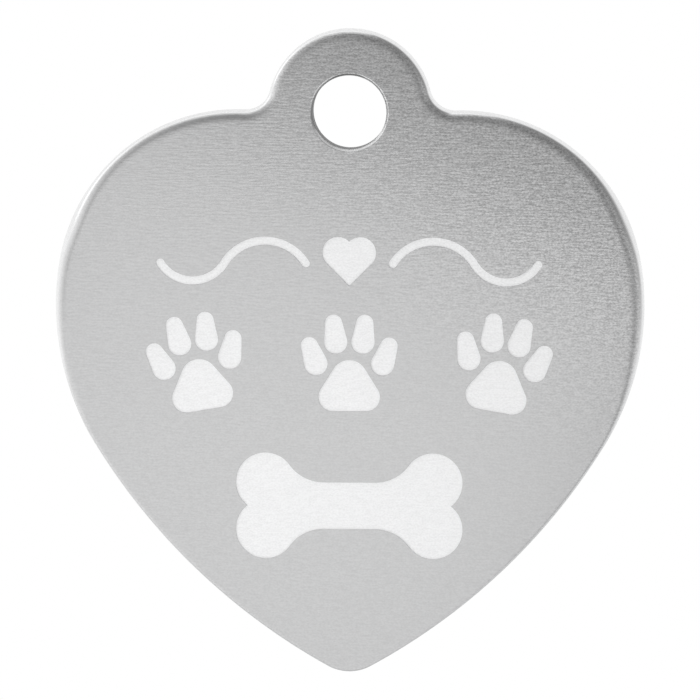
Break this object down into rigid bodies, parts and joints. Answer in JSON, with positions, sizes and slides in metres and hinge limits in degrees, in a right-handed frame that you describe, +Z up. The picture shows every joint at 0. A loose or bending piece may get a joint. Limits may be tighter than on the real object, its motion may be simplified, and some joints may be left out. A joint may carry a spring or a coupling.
{
  "type": "pet id tag",
  "caption": "Flat heart-shaped metal pet tag with a round lug and ring hole at the top, rolled front edge and white bone, paw and flourish marks.",
  "frame": {"origin": "centre of the ring hole at half the plate's thickness", "axes": "+Z up from the tip to the lug as the tag hangs, +X to the right seen from the front, the front face looks along -Y"},
  "size_m": [0.0318, 0.0016, 0.0347],
  "materials": {
    "brushed_metal": "brushed across the width",
    "white_mark": "matte white mark"
  },
  "bodies": {
    "root": {"tag_plate": "brushed_metal", "heart_mark": "white_mark", "flourish_marks": "white_mark", "paw_marks": "white_mark", "bone_mark": "white_mark"}
  },
  "joints": []
}
